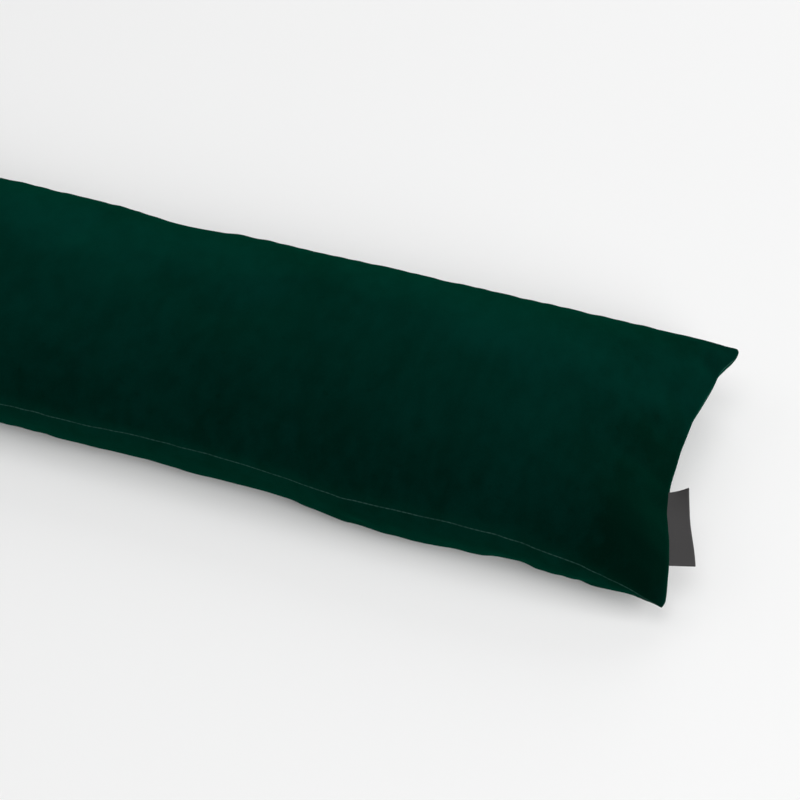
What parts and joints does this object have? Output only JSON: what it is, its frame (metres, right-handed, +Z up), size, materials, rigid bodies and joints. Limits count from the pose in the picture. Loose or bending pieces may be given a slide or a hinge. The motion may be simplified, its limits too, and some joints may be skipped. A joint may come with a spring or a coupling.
{
  "type": "draught excluder",
  "caption": "Long stuffed velvet draught excluder of two sewn panels, lying flat, with a bare folded ribbon label in one end seam.",
  "frame": {"origin": "middle of the part's box on the surface it lies on", "axes": "+X along the length towards the labelled end, +Z up, -Y towards the long seam that the picture shows"},
  "size_m": [0.9928, 0.1928, 0.0727],
  "materials": {
    "velvet": "dark emerald velvet with a short nap, seams sewn plain",
    "ribbon": "dark grey woven ribbon, bare"
  },
  "bodies": {
    "root": {"cushion": "velvet", "label": "ribbon"}
  },
  "joints": []
}
